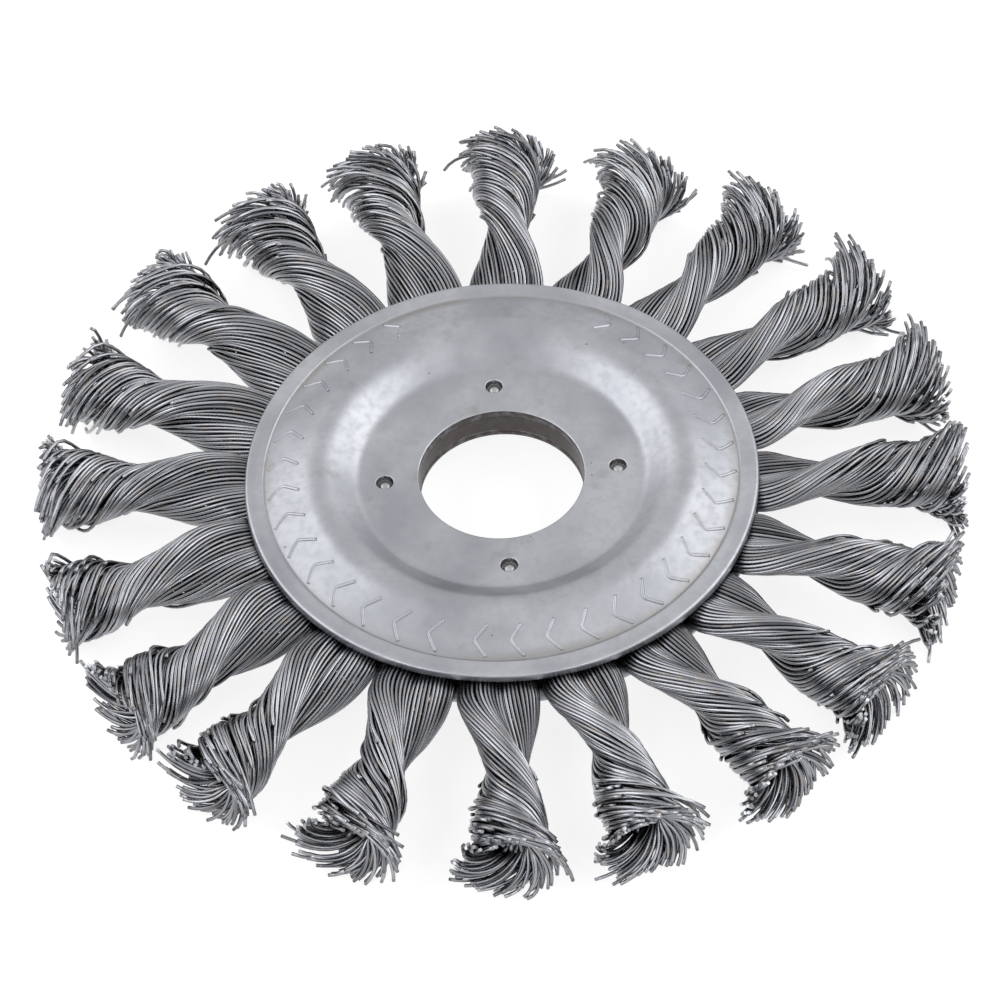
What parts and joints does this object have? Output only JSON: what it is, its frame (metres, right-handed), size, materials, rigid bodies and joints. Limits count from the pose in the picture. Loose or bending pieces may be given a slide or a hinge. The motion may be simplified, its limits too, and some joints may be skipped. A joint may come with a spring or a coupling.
{
  "type": "wire wheel brush",
  "caption": "Twist-knot wire wheel: knots of twisted steel wire folded through a carrier disc and clamped between two pressed steel side plates with an arbor bore.",
  "frame": {"origin": "centre of the arbor bore at the wheel's mid thickness", "axes": "+Z along the bore towards the front plate, +X through the middle of one knot"},
  "size_m": [0.125, 0.125, 0.0128],
  "materials": {
    "plate_steel": "satin pressed sheet",
    "disc_steel": "dull punched sheet",
    "pin_steel": "dull",
    "wire_steel": "bright drawn wire"
  },
  "bodies": {
    "root": {"front_plate": "plate_steel", "back_plate": "plate_steel", "carrier_disc": "disc_steel", "stake_pins": "pin_steel", "knot_01": "wire_steel", "knot_02": "wire_steel", "knot_03": "wire_steel", "knot_04": "wire_steel", "knot_05": "wire_steel", "knot_06": "wire_steel", "knot_07": "wire_steel", "knot_08": "wire_steel", "knot_09": "wire_steel", "knot_10": "wire_steel", "knot_11": "wire_steel", "knot_12": "wire_steel", "knot_13": "wire_steel", "knot_14": "wire_steel", "knot_15": "wire_steel", "knot_16": "wire_steel", "knot_17": "wire_steel", "knot_18": "wire_steel", "knot_19": "wire_steel", "knot_20": "wire_steel"}
  },
  "joints": []
}
